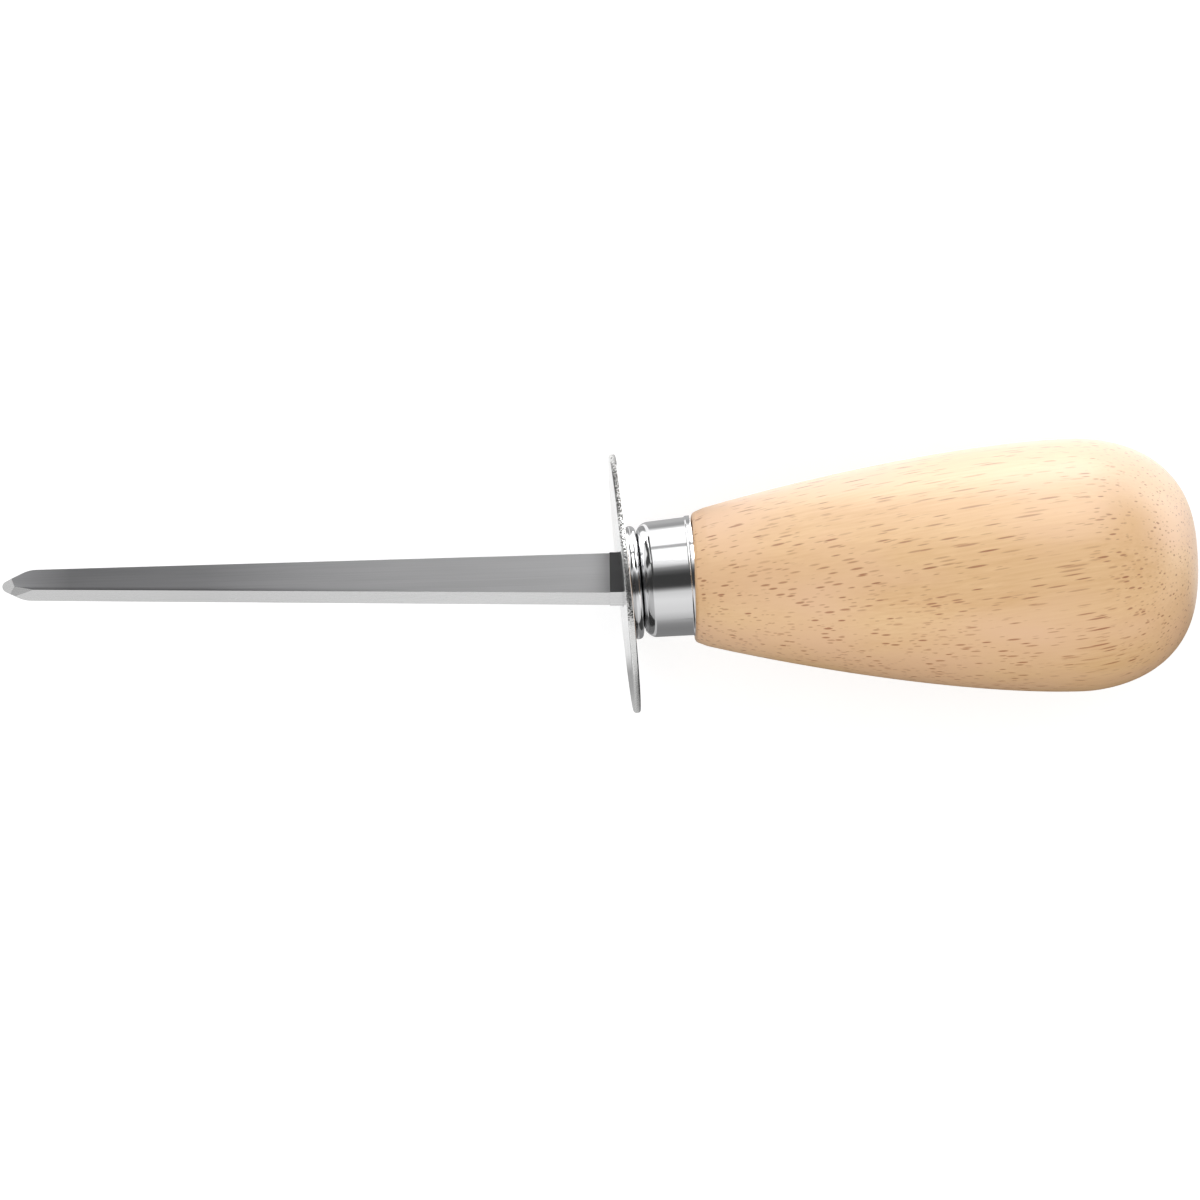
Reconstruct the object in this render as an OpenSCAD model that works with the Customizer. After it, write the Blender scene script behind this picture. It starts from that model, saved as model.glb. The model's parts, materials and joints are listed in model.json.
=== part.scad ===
// Oyster knife: a spear-point blade, a round guard, a collar, a ferrule and a turned pear handle.
// +X runs along the handle's axis to the butt, +Y to the spine and +Z square to the blade's flats.
// The origin is the centre of the guard's front face.

/* [Blade] */
// Length from the guard's front face to the tip
blade_len = 91.9; // [70:0.1:120]
// Width at the guard
blade_root_w = 7.7; // [7:0.1:12]
// Width that the taper would reach at the tip if the point were not cut
blade_tip_w = 4.4; // [3.8:0.1:6]
// Thickness between the flats at the guard
blade_root_t = 2.4; // [2:0.1:3.5]
// Thickness between the flats at the tip
blade_tip_t = 2.2; // [1.6:0.1:3]
// Length of the unground stock in front of the guard
ricasso_len = 1.4; // [0.5:0.1:5]
// How far the grinding took each face below the ricasso
grind_depth = 0.1; // [0.05:0.05:0.3]

/* [Edge and point] */
// Blunt land left along the lower edge
edge_land = 0.3; // [0.1:0.05:0.8]
// Slope of the long bevel from the flat, in degrees
bevel_angle = 31; // [22:1:40]
// Half angle of the point's outline, in degrees
point_angle = 25.5; // [20:0.5:40]
// Radius of the nose
nose_r = 0.82; // [0.4:0.02:1.3]
// How far the nose sits from the blade's axis, towards the bevel
nose_drop = 0.18; // [0:0.02:0.5]
// Radius where the blade's sides turn into the point
shoulder_r = 5; // [1:0.5:6]
// Distance from the tip to where the flat facet leaves the ridge
facet_start = 4.7; // [3:0.1:6]
// Turn of the flat facet away from the long bevel, in degrees
facet_turn = 11; // [4:1:20]
// Slope of the flat facet, in degrees
facet_slope = 22; // [12:1:26]
// Distance from the tip to where the nose facet leaves the flat
nose_facet_start = 1.9; // [1.2:0.1:3]
// Turn of the nose facet away from the blade's axis, in degrees
nose_facet_turn = 22; // [20:1:60]
// Slope of the nose facet, in degrees
nose_facet_slope = 25; // [15:1:40]

/* [Tang] */
// Width of the tang at the collar
tang_w = 5; // [3.5:0.1:6.5]
// Width of the tang at its end
tang_end_w = 3.5; // [2:0.1:5]
// Thickness of the tang
tang_t = 2.4; // [1.6:0.1:3]
// Depth that the tang reaches into the handle
tang_depth = 50; // [25:1:60]

/* [Guard] */
// Diameter of the guard
guard_d = 38.8; // [28:0.2:50]
// Thickness of the guard
guard_t = 1; // [0.8:0.1:2]
// Radius that blanking rolled onto the guard's front edge
guard_roll = 0.4; // [0.1:0.05:0.4]
// Radius that tumbling left on the guard's rear edge
guard_rear_roll = 0.3; // [0.1:0.05:0.4]

/* [Collar] */
// Diameter of the collar
collar_d = 17; // [13:0.1:24]
// Thickness of the collar, whose rim is fully round
collar_t = 1.7; // [1:0.1:3]

/* [Ferrule] */
// Length of the ferrule
ferrule_len = 8.25; // [6:0.25:14]
// Diameter behind the front shoulder
ferrule_front_d = 17.3; // [15:0.1:20]
// Diameter in front of the lip
ferrule_rear_d = 17.7; // [16:0.1:20]
// Wall of the drawn cap
ferrule_wall = 0.8; // [0.4:0.1:1.2]
// Radius of the front shoulder
ferrule_round = 2; // [1.3:0.1:2.5]
// Length of the flared lip
lip_len = 0.95; // [0.6:0.05:1.5]
// How far the lip flares out
lip_flare = 0.2; // [0.1:0.05:0.4]
// How far the ferrule sits above the line of the collar
ferrule_rise = 0.25; // [0:0.05:0.5]

/* [Handle] */
// Length of the handle behind the ferrule
handle_len = 75.2; // [65:0.2:95]
// Diameter of the handle's front end
handle_front_d = 19.7; // [19.5:0.1:25]
// Largest diameter, at the belly
handle_belly_d = 37.8; // [28:0.2:46]
// Distance from the front end to the belly
belly_at = 57.6; // [50:0.2:62]
// Slope at the front end, in degrees
handle_flare = 15; // [5:1:25]
// Reach of the front slope along the side's curve
front_reach = 13.8; // [5:0.1:20]
// Reach of the belly forwards along the side's curve
belly_reach = 18; // [8:0.5:25]
// Reach of the belly backwards along the butt's curve
butt_reach = 4.5; // [2:0.1:10]
// Reach of the end outwards along the butt's curve
end_reach = 17; // [8:0.1:18]
// Radius of the small flat that parting off left on the end
end_flat_r = 2.5; // [1:0.1:4]
// Radius of the front corner
front_corner_r = 0.8; // [0.3:0.1:1.5]

/* [Seating] */
// Lean of the collar and the ferrule from the handle's axis, in degrees
fitting_lean = 3.3; // [0:0.1:4]
// How much further the guard leans, so that it bears on one side of the collar, in degrees
guard_lean = 0.6; // [0:0.1:1]
// Cant of the blade from the handle's axis, the other way, in degrees
blade_cant = 1.2; // [0:0.1:2]
// How far the blade sits from the handle's axis, towards the bevel
blade_drop = 0.15; // [0:0.05:0.4]
// Depth that the middle of the ferrule's lip beds into the handle
ferrule_bed = 0.25; // [0.1:0.05:0.6]

/* [Clearances] */
// Between faces that bear on each other
seat_gap = 0.02; // [0.01:0.01:0.05]
// Around the tang in the collar, the ferrule and the handle's hole
tang_fit = 0.1; // [0.05:0.05:0.3]
// Between the ferrule's inside and the handle's spigot
spigot_fit = 0.1; // [0.05:0.05:0.3]
// Beside the blade in the guard's slot, along the blade's width
slot_play_w = 0.25; // [0.25:0.05:0.6]
// Beside the blade in the guard's slot, across its flats
slot_play_t = 0.1; // [0.05:0.05:0.3]

/* [Hidden] */
round_steps = 8;
curve_steps = 28;
reach = 300;
overlap = 1;

collar_rear = ferrule_len;
collar_front = collar_rear + collar_t;
guard_rear = collar_front + seat_gap;
guard_bearing = (collar_d - collar_t) / 2;
guard_front = guard_rear + guard_t * cos(guard_lean) + guard_bearing * sin(guard_lean);

tip_x = -(guard_front + blade_len);
grind_end_x = -(guard_front + ricasso_len);
taper = (blade_root_w - blade_tip_w) / 2 / blade_len;
taper_angle = atan(taper);
root_x = -guard_front;

stock_w = blade_root_w + 2 * grind_depth;
stock_t = blade_root_t + 2 * grind_depth;
lip_r = ferrule_rear_d / 2 + lip_flare;
bore_d = norm([tang_w, tang_t]) + 2 * tang_fit;

guard_sag = guard_bearing * (1 - cos(guard_lean)) + guard_t * sin(guard_lean);
guard_centre = [
    ferrule_bed - guard_front * cos(fitting_lean) + guard_sag * sin(fitting_lean),
    -guard_front * sin(fitting_lean) - guard_sag * cos(fitting_lean),
    0
];

// Points of a circular arc, from angle a0 to a1
function arc(centre, r, a0, a1, steps = round_steps) = [
    for (i = [0 : steps]) let (a = a0 + (a1 - a0) * i / steps)
        centre + r * [cos(a), sin(a)]
];

// Points of a cubic curve with the control points p
function curve(p, steps = curve_steps) = [
    for (i = [0 : steps]) let (t = i / steps, u = 1 - t)
        u * u * u * p[0] + 3 * u * u * t * p[1] + 3 * u * t * t * p[2] + t * t * t * p[3]
];

// Half the blade's width at a distance from the tip
function half_width(from_tip) = blade_tip_w / 2 + taper * from_tip;

// Where the point's side meets the blade's side: 1 is the spine's side, -1 the bevel's
function point_corner(side) =
    (blade_tip_w / 2 + side * nose_drop + nose_r * (tan(point_angle) - 1 / cos(point_angle)))
    / (tan(point_angle) - taper);

// The rounded corner between the blade's side and the point's side, from the root to the tip
function point_shoulder(side) =
    let (turn = point_angle - taper_angle,
         d = point_corner(side),
         back = shoulder_r * tan(turn / 2),
         start = [d + back * cos(taper_angle), half_width(d) + back * sin(taper_angle)],
         centre = start + shoulder_r * [sin(taper_angle), -cos(taper_angle)])
    [for (p = arc(centre, shoulder_r, 90 + taper_angle, 90 + point_angle))
        [tip_x + p[0], side * p[1]]];

function backwards(points) = [for (i = [len(points) - 1 : -1 : 0]) points[i]];

// Plan of the ground blade, seen square to its flats
function blade_plan() = concat(
    [[root_x, half_width(blade_len)]],
    point_shoulder(1),
    arc([tip_x + nose_r, -nose_drop], nose_r, 90 + point_angle, 270 - point_angle),
    backwards(point_shoulder(-1)),
    [[root_x, -half_width(blade_len)]]
);

// The line of the collar, leaning from the handle's axis
module fitting_line() {
    translate([ferrule_bed, 0, 0]) rotate([0, 0, fitting_lean]) children();
}

// The line of the ferrule and of the handle's spigot inside it
module ferrule_line() {
    fitting_line() translate([0, ferrule_rise, 0]) children();
}

// The guard's own line, turned about the side of the collar that it bears on, from its rear face
module guard_line() {
    fitting_line() translate([-guard_rear, -guard_bearing, 0]) rotate([0, 0, guard_lean])
        translate([0, guard_bearing, 0]) children();
}

// The line of the blade and its tang
module blade_line() {
    translate([0, -blade_drop, 0]) rotate([0, 0, -blade_cant]) children();
}

// Puts the centre of the guard's front face at the origin
module from_guard_face() {
    translate(-guard_centre) children();
}

// Turns a profile of [radius, x] points about the X axis
module turned(profile) {
    rotate([0, 90, 0]) rotate_extrude($fn = 96) polygon(profile);
}

// Everything above a plane through a point, which falls at a slope towards the plan angle
module grind(through, toward, slope) {
    for (side = [0, 1]) mirror([0, 0, side])
        translate(through) rotate([0, 0, toward]) rotate([0, slope, 0])
            translate([-reach / 2, -reach / 2, 0]) cube([reach, reach, reach / 2]);
}

// The blade's thickness, seen from its edge
module blade_side_view() {
    rotate([90, 0, 0]) linear_extrude(height = reach, center = true)
        polygon([
            [tip_x, -blade_tip_t / 2],
            [root_x, -blade_root_t / 2],
            [root_x, blade_root_t / 2],
            [tip_x, blade_tip_t / 2]
        ]);
}

// The ground length: flats, long bevels and the three facets of the point on each side
module ground_blade() {
    difference() {
        intersection() {
            linear_extrude(height = reach, center = true) polygon(blade_plan());
            blade_side_view();
            translate([grind_end_x - reach, -reach / 2, -reach / 2])
                cube([reach, reach, reach]);
        }
        grind([root_x, -half_width(blade_len), edge_land / 2], -90 - taper_angle, bevel_angle);
        grind([tip_x + facet_start, ridge_y(facet_start), blade_tip_t / 2],
            -90 - facet_turn, facet_slope);
        grind([tip_x + nose_facet_start, -nose_drop, blade_tip_t / 2],
            180 + nose_facet_turn, nose_facet_slope);
    }
}

// Where the long bevel meets the flat at a distance from the tip
function ridge_y(from_tip) =
    -half_width(from_tip) + (blade_tip_t - edge_land) / 2 / tan(bevel_angle);

// Section of the unground stock, with its bevels, seen along the blade
module stock_section() {
    bevel_w = (stock_t - edge_land) / 2 / tan(bevel_angle);
    polygon([
        [stock_w / 2, -stock_t / 2],
        [stock_w / 2, stock_t / 2],
        [-stock_w / 2 + bevel_w, stock_t / 2],
        [-stock_w / 2, edge_land / 2],
        [-stock_w / 2, -edge_land / 2],
        [-stock_w / 2 + bevel_w, -stock_t / 2]
    ]);
}

// The unground stock, through the guard's slot to the shoulders that bear on the collar
module ricasso() {
    difference() {
        translate([grind_end_x, 0, 0]) rotate([90, 0, 90])
            linear_extrude(height = ricasso_len + guard_front) stock_section();
        rotate([0, 0, blade_cant]) translate([0, blade_drop, 0]) fitting_line()
            translate([-guard_rear, -reach / 2, -reach / 2]) cube([reach, reach, reach]);
    }
}

// The tang, or with a clearance the hole that it passes through
module tang(fit = 0) {
    start_x = -(guard_rear + guard_front) / 2;
    tip_w = tang_t / 2;
    linear_extrude(height = tang_t + 2 * fit, center = true)
        polygon([
            [start_x, -tang_w / 2 - fit],
            [0, -tang_w / 2 - fit],
            [tang_depth - tang_end_w / 2, -tang_end_w / 2 - fit],
            [tang_depth, -tip_w / 2 - fit],
            [tang_depth, tip_w / 2 + fit],
            [tang_depth - tang_end_w / 2, tang_end_w / 2 + fit],
            [0, tang_w / 2 + fit],
            [start_x, tang_w / 2 + fit]
        ]);
}

// The hole drilled in the handle for the tang, with the drill's cone at its end
module tang_bore() {
    drill_angle = 59;
    turned([
        [0, -ferrule_len - overlap],
        [bore_d / 2, -ferrule_len - overlap],
        [bore_d / 2, tang_depth + tang_fit],
        [0, tang_depth + tang_fit + bore_d / 2 / tan(drill_angle)]
    ]);
}

// Profile of the handle, from the middle of its front face round to the middle of its butt
function handle_profile() =
    let (front_r = handle_front_d / 2,
         belly_r = handle_belly_d / 2,
         rise = tan(handle_flare),
         side = curve([
             [front_r, 0],
             [front_r + front_reach * rise, front_reach],
             [belly_r, belly_at - belly_reach],
             [belly_r, belly_at]
         ]),
         butt = curve([
             [belly_r, belly_at],
             [belly_r, belly_at + butt_reach],
             [end_reach, handle_len],
             [end_flat_r, handle_len]
         ]))
    concat(
        [[0, 0]],
        arc([front_r - front_corner_r, front_corner_r], front_corner_r, -90, -handle_flare),
        [for (p = side) if (p[1] > 2 * front_corner_r) p],
        [for (i = [1 : curve_steps]) butt[i]],
        [[0, handle_len]]
    );

// Inside of the ferrule, or with a clearance the spigot that fills it
function ferrule_inside(fit = 0) =
    let (front_r = ferrule_front_d / 2 - ferrule_wall - fit,
         rear_r = ferrule_rear_d / 2 - ferrule_wall - fit,
         front_x = -ferrule_len + ferrule_wall + fit,
         round_r = ferrule_round - ferrule_wall)
    concat(
        [[0, front_x]],
        arc([front_r - round_r, front_x + round_r], round_r, -90, 0),
        [[rear_r, -lip_len]]
    );

module blade() {
    color("gainsboro") from_guard_face() blade_line() {
        ground_blade();
        ricasso();
        tang();
    }
}

module guard() {
    color("silver") from_guard_face() difference() {
        guard_line() turned(concat(
            [[0, -guard_t]],
            arc([guard_d / 2 - guard_roll, -guard_t + guard_roll], guard_roll, -90, 0),
            arc([guard_d / 2 - guard_rear_roll, -guard_rear_roll], guard_rear_roll, 0, 90),
            [[0, 0]]
        ));
        blade_line() cube([
            2 * (guard_front + ricasso_len),
            stock_w + 2 * slot_play_w,
            stock_t + 2 * slot_play_t
        ], center = true);
    }
}

module collar() {
    rim_r = collar_t / 2;
    color("darkgray") from_guard_face() difference() {
        fitting_line() turned(concat(
            [[0, -collar_front]],
            arc([collar_d / 2 - rim_r, -collar_front + rim_r], rim_r, -90, 90),
            [[0, -collar_rear]]
        ));
        blade_line() tang(tang_fit);
    }
}

module ferrule() {
    front_r = ferrule_front_d / 2;
    rear_r = ferrule_rear_d / 2;
    flare_mid = -lip_len + lip_flare;
    color("whitesmoke") from_guard_face() difference() {
        ferrule_line() turned(concat(
            [[0, -ferrule_len + seat_gap]],
            arc([front_r - ferrule_round, -ferrule_len + seat_gap + ferrule_round],
                ferrule_round, -90, 0),
            [[rear_r, -lip_len], [lip_r, flare_mid], [lip_r, 0], [lip_r - ferrule_wall, 0]],
            backwards(ferrule_inside())
        ));
        blade_line() tang(tang_fit);
    }
}

module handle() {
    color("burlywood") from_guard_face() difference() {
        union() {
            difference() {
                turned(handle_profile());
                ferrule_line() turned([
                    [0, -ferrule_len],
                    [lip_r + seat_gap, -ferrule_len],
                    [lip_r + seat_gap, seat_gap],
                    [0, seat_gap]
                ]);
            }
            ferrule_line() turned(concat(
                ferrule_inside(spigot_fit),
                [
                    [lip_r - ferrule_wall - spigot_fit, 0],
                    [lip_r - ferrule_wall - spigot_fit, overlap],
                    [0, overlap]
                ]
            ));
        }
        blade_line() tang_bore();
    }
}

blade();
guard();
collar();
ferrule();
handle();
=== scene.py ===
"""Oyster knife: the finish of every surface, the studio and the camera.

Sizes are in millimetres and turned to metres once, where a mesh is made. The pieces follow the same
curves as the solids that they stand for, on finer grids, so that bright metal shades smoothly.
"""

import json
import logging
import math
from dataclasses import dataclass, field
from enum import IntEnum

import bmesh
import bpy
import numpy as np
from mathutils import Matrix, Vector

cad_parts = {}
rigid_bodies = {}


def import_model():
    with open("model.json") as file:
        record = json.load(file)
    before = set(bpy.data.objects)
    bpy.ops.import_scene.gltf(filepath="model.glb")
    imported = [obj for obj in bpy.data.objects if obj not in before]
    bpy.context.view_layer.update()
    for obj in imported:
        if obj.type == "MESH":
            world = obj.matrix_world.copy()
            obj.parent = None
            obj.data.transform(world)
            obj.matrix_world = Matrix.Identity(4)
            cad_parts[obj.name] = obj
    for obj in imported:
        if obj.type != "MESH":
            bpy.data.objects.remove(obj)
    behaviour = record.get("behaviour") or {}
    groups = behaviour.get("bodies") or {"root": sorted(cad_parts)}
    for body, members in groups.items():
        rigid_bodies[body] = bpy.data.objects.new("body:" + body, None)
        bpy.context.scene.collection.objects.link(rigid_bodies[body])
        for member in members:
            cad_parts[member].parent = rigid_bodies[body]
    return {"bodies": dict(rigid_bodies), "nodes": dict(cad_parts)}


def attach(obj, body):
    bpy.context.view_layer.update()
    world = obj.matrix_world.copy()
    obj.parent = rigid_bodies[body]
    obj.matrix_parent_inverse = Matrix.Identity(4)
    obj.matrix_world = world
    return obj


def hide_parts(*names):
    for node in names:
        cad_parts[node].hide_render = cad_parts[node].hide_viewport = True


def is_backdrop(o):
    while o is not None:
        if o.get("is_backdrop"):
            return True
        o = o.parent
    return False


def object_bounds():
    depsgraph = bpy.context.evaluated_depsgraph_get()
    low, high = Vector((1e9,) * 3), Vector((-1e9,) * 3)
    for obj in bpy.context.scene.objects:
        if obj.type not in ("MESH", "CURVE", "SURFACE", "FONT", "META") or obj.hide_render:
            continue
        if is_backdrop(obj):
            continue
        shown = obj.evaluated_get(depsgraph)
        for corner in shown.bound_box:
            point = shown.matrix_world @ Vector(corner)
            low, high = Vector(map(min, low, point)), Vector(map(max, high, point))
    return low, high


Span = tuple[float, float]
Place = tuple[float, float, float]
Colour = tuple[float, float, float, float]
Stops = tuple[tuple[float, float], ...]

LOG = logging.getLogger("oyster_knife")
MM = 0.001
FRAME_PX = 1200

MATH = "ShaderNodeMath"
RANGE = "ShaderNodeMapRange"
MIX = "ShaderNodeMix"
# A Mix node repeats its sockets' names, so its two colours and its result go by their numbers.
MIX_FIRST, MIX_SECOND, MIX_RESULT = 6, 7, 2
# Nearly all of a noise lies between these two values.
NOISE_SPAN = (0.3, 0.7)
TONE_SPAN = (0.36, 0.62)
# Keeps a wall that lies along a ray from dividing by zero.
TINY = 1e-9


def linear(hex_colour: str) -> Colour:
    """Turns an sRGB hex colour into linear red, green, blue and alpha.

    Args:
        hex_colour: six hex digits, with or without a leading hash.

    Returns:
        Four floats, with an alpha of 1.
    """
    digits = hex_colour.lstrip("#")
    parts = [int(digits[i : i + 2], 16) / 255 for i in (0, 2, 4)]
    low = [c / 12.92 if c <= 0.04045 else ((c + 0.055) / 1.055) ** 2.4 for c in parts]
    return (low[0], low[1], low[2], 1.0)


def grey(level: float) -> Colour:
    """A linear grey of the given level."""
    return (level, level, level, 1.0)


def add_node(
    tree: bpy.types.NodeTree,
    kind: str,
    settings: dict[str, object] | None = None,
    inputs: dict[object, object] | tuple = (),
    stops: list[tuple[float, Colour]] | None = None,
) -> bpy.types.Node:
    """Adds one node, sets its properties and fills or links its inputs.

    Args:
        tree: the node tree that the node goes into.
        kind: the node's type name.
        settings: property names and their values.
        inputs: the first inputs in order, or a dict of input names or numbers. Each is a value, a
            socket to link from, or a node, which is linked from its first output.
        stops: for a colour ramp, its places from 0 to 1 and the linear colour at each.

    Returns:
        The new node.
    """
    node = tree.nodes.new(kind)
    for name, value in (settings or {}).items():
        setattr(node, name, value)
    for name, value in (inputs if isinstance(inputs, dict) else dict(enumerate(inputs))).items():
        source = value.outputs[0] if isinstance(value, bpy.types.Node) else value
        if isinstance(source, bpy.types.NodeSocket):
            tree.links.new(source, node.inputs[name])
        else:
            node.inputs[name].default_value = source
    if stops:
        elements = node.color_ramp.elements
        while len(elements) < len(stops):
            elements.new(1.0)
        for element, (position, colour) in zip(elements, stops):
            element.position = position
            element.color = colour
    return node


def object_coordinates(
    tree: bpy.types.NodeTree, pitch_mm: Place, turn_deg: float = 0.0, lift_deg: float = 0.0
) -> bpy.types.Node:
    """Object coordinates scaled so that one cell of a pattern has a real size.

    Args:
        tree: the node tree.
        pitch_mm: the size of one cell along X, Y and Z.
        turn_deg: how far the pattern's long direction turns from X towards Y.
        lift_deg: how far it then rises towards Z.

    Returns:
        The node that gives the vector.
    """
    place = add_node(tree, "ShaderNodeTexCoord").outputs["Object"]
    turn = (0, math.radians(lift_deg), math.radians(-turn_deg))
    scale = tuple(1 / (pitch * MM) for pitch in pitch_mm)
    turned = add_node(tree, "ShaderNodeMapping", inputs={"Vector": place, "Rotation": turn})
    return add_node(tree, "ShaderNodeMapping", inputs={"Vector": turned, "Scale": scale})


def pattern(
    tree: bpy.types.NodeTree,
    pitch_mm: Place,
    detail: float,
    turn_deg: float = 0.0,
    lift_deg: float = 0.0,
    distortion: float = 0.0,
) -> bpy.types.Node:
    """Noise in the object's own space, with cells of a real size.

    Args:
        tree: the node tree.
        pitch_mm: the size of one cell along X, Y and Z.
        detail: how many finer octaves are added.
        turn_deg: how far the pattern's long direction turns from X towards Y.
        lift_deg: how far it then rises towards Z.
        distortion: how far the cells wander.

    Returns:
        The noise node, whose first output is a factor from 0 to 1.
    """
    vector = object_coordinates(tree, pitch_mm, turn_deg, lift_deg)
    inputs = {"Vector": vector, "Scale": 1.0, "Detail": detail, "Distortion": distortion}
    return add_node(tree, "ShaderNodeTexNoise", inputs=inputs)


def own_place(tree: bpy.types.NodeTree) -> bpy.types.Node:
    """A point's own X, Y and Z in metres, as three outputs."""
    place = add_node(tree, "ShaderNodeTexCoord").outputs["Object"]
    return add_node(tree, "ShaderNodeSeparateXYZ", inputs=(place,))


def new_material(name: str) -> tuple[bpy.types.Material, bpy.types.NodeTree]:
    """An empty node material.

    Args:
        name: its name.

    Returns:
        The material and its tree.
    """
    material = bpy.data.materials.new(name)
    material.use_nodes = True
    material.node_tree.nodes.clear()
    return material, material.node_tree


def finish_surface(tree: bpy.types.NodeTree, inputs: dict[object, object]) -> None:
    """Adds the surface shader with its inputs and joins it to the output."""
    shader = add_node(tree, "ShaderNodeBsdfPrincipled", inputs=inputs)
    add_node(tree, "ShaderNodeOutputMaterial", inputs={"Surface": shader})


@dataclass(frozen=True)
class GroundSteel:
    """Stainless steel ground lengthwise on a fine belt: a soft sheen drawn out across the lines."""

    name: str = "ground_steel"
    colour: str = "#c8c8c9"
    # Painted reflection: the point's colour is darker than the body's, for the dark above the
    # point.
    point_colour: str = "#b0b0b2"
    streak: float = 0.14
    fine_share: float = 0.55
    roughness: float = 0.6
    point_roughness: float = 0.4
    uneven: float = 0.04
    point_ends_mm: float = -62.0
    body_starts_mm: float = -26.0
    stretch: float = 0.9
    tangent_map: str = "grind"
    ridge_line: tuple[Span, Span] | None = None
    # Width and depth of a painted shade line along the ridge.
    ridge_w_mm: float = 0.5
    ridge_shade: float = 0.6
    # Painted highlight: the flats' colour is lifted up to this many times over this span at the
    # very point.
    point_highlight: float = 2.0
    point_highlight_mm: Span = (-92.5, -82.0)
    streak_mm: Place = (22.0, 0.16, 0.16)
    shade_mm: Place = (38.0, 2.6, 2.6)
    relief: float = 0.5
    scratch_depth_mm: float = 0.003

    def ridge(
        self, tree: bpy.types.NodeTree, place: bpy.types.Node, body: bpy.types.Node
    ) -> bpy.types.Node:
        """Painted shade: a darker line painted into the flats' colour along the ridge near the
        point.

        The distance from the line is the place's offset from one end, along the line's normal.

        Args:
            tree: the node tree.
            place: the node that gives X, Y and Z.
            body: 0 at the point and 1 along the body, where the line has faded out.

        Returns:
            A node that gives the shade: 1 where there is no line.
        """
        (x0, y0), (x1, y1) = self.ridge_line
        run, rise = x1 - x0, y1 - y0
        length = math.hypot(run, rise)
        start = (rise * x0 - run * y0) / length * MM
        along_x = add_node(tree, MATH, {"operation": "MULTIPLY"}, (place, -rise / length))
        both = (place.outputs["Y"], run / length, along_x)
        off = add_node(tree, MATH, {"operation": "MULTIPLY_ADD"}, both)
        off = add_node(tree, MATH, {"operation": "ADD"}, (off, start))
        away = add_node(tree, MATH, {"operation": "ABSOLUTE"}, (off,))
        line = add_node(tree, RANGE, None, (away, 0.0, self.ridge_w_mm * MM, self.ridge_shade, 0.0))
        fade = add_node(tree, RANGE, None, (body, 0.0, 1.0, 1.0, 0.0))
        shown = add_node(tree, MATH, {"operation": "MULTIPLY"}, (line, fade))
        return add_node(tree, MATH, {"operation": "SUBTRACT"}, (1.0, shown))

    def tint(
        self, tree: bpy.types.NodeTree, streaks: bpy.types.Node, body: bpy.types.Node
    ) -> bpy.types.Node:
        """The steel's colour: the point's blending into the body's, and darker along some lines.
        A point colour darker than the body's is a painted reflection of the dark above the point.

        Args:
            tree: the node tree.
            streaks: the fine lines.
            body: 0 at the point and 1 along the body.

        Returns:
            The node that gives the colour.
        """
        shades = pattern(tree, self.shade_mm, detail=2.0)
        fine = add_node(tree, MATH, {"operation": "MULTIPLY"}, (streaks, self.fine_share))
        broad = add_node(tree, MATH, {"operation": "MULTIPLY"}, (shades, 1 - self.fine_share))
        both = add_node(tree, MATH, {"operation": "ADD"}, (fine, broad))
        colours = {0: body, MIX_FIRST: linear(self.point_colour), MIX_SECOND: linear(self.colour)}
        plain = add_node(tree, MIX, {"data_type": "RGBA"}, colours).outputs[MIX_RESULT]
        stops = list(zip(TONE_SPAN, (grey(1.0 - self.streak), grey(1.0))))
        lines = add_node(tree, "ShaderNodeValToRGB", inputs=(both,), stops=stops)
        return add_node(tree, "ShaderNodeVectorMath", {"operation": "MULTIPLY"}, (plain, lines))

    def material(self) -> bpy.types.Material:
        """Builds the material.

        The belt's lines are about 0.05 mm apart and drawn 3 times as coarse. The point is ground
        finer than the body, so it mirrors more of the dark above it, and its colour is painted
        darker as well, a painted reflection of that dark. On the flats a painted shade line runs
        along the ridge, and a painted highlight lightens the very point.

        Returns:
            The material.
        """
        material, tree = new_material(self.name)
        place = own_place(tree)
        point = (place, self.point_ends_mm * MM, self.body_starts_mm * MM, 0.0, 1.0)
        body = add_node(tree, RANGE, None, point)
        streaks = pattern(tree, self.streak_mm, detail=4.0)
        tinted = self.tint(tree, streaks, body)
        if self.ridge_line is not None:
            # Painted highlight: the colour is lifted towards the very point.
            start, end = self.point_highlight_mm
            nose = add_node(tree, RANGE, None, (place, start * MM, end * MM, self.point_highlight, 1.0))
            # Painted shade: a darker line along the ridge, fading along the body.
            ridge = self.ridge(tree, place, body)
            shade = add_node(tree, MATH, {"operation": "MULTIPLY"}, (ridge, nose))
            shaded = {0: tinted, "Scale": shade}
            tinted = add_node(tree, "ShaderNodeVectorMath", {"operation": "SCALE"}, shaded)
        ends = (body, 0.0, 1.0, self.point_roughness, self.roughness)
        scatter = add_node(tree, RANGE, None, ends)
        uneven = add_node(tree, RANGE, None, (streaks, *NOISE_SPAN, -self.uneven, self.uneven))
        depth = self.scratch_depth_mm * MM
        scratches = {"Height": streaks, "Strength": self.relief, "Distance": depth}
        across = {"direction_type": "UV_MAP", "uv_map": self.tangent_map}
        finish_surface(
            tree,
            {
                "Base Color": tinted,
                "Metallic": 1.0,
                "Roughness": add_node(tree, MATH, {"operation": "ADD"}, (scatter, uneven)),
                "Anisotropic": self.stretch,
                "Tangent": add_node(tree, "ShaderNodeTangent", across),
                "Normal": add_node(tree, "ShaderNodeBump", inputs=scratches),
            },
        )
        return material


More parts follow.
